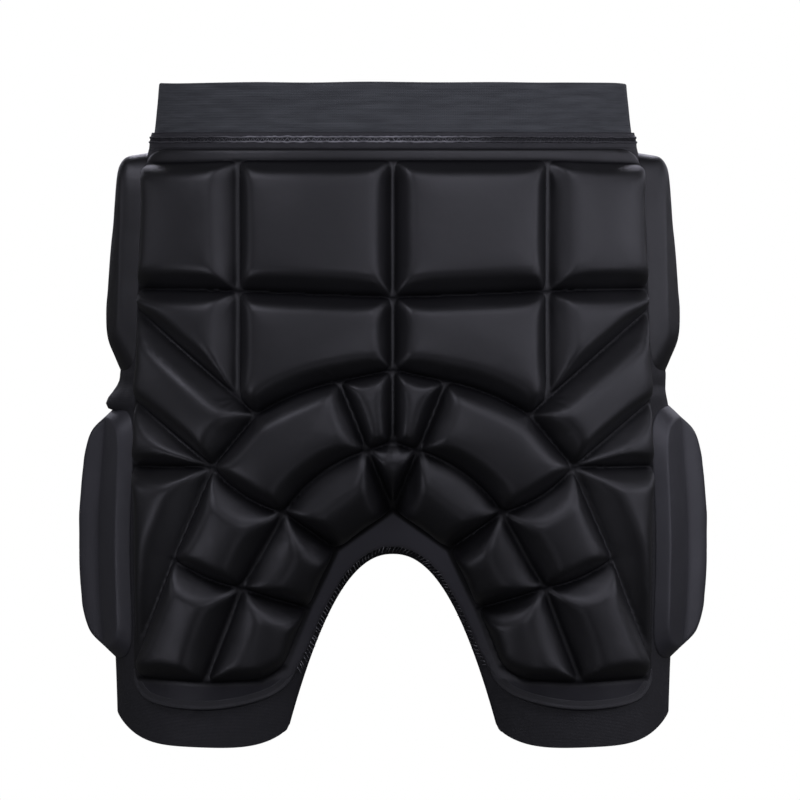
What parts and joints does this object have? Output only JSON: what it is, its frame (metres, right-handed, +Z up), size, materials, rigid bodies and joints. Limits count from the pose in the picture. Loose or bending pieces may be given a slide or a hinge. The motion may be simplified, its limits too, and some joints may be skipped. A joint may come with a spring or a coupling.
{
  "type": "protective pants",
  "caption": "Padded protective shorts: thigh-length stretch shell with an elastic waistband, a moulded back pad in raised cells, and foam pads on hips and thighs.",
  "frame": {"origin": "centre of the waist opening, level with the top edge of the waistband", "axes": "+Z up, towards the wearer's trunk; +X towards the wearer's right; +Y towards the wearer's front, so the padded seat faces -Y"},
  "size_m": [0.3744, 0.2345, 0.392],
  "materials": {
    "elastic": "ribbed elastic webbing",
    "jersey": "stretch knit, matt",
    "pad_cover": "fine smooth knit bonded to moulded foam, soft sheen",
    "tape": "folded binding tape"
  },
  "bodies": {
    "root": {"waistband": "elastic", "waist_seam_tape": "tape", "shorts_shell": "jersey", "leg_cuff_left": "jersey", "leg_cuff_right": "jersey", "back_pad": "pad_cover", "leg_binding_left": "tape", "leg_binding_right": "tape", "hip_pad_left": "pad_cover", "hip_pad_right": "pad_cover", "thigh_pad_left": "pad_cover", "thigh_pad_right": "pad_cover"}
  },
  "joints": []
}
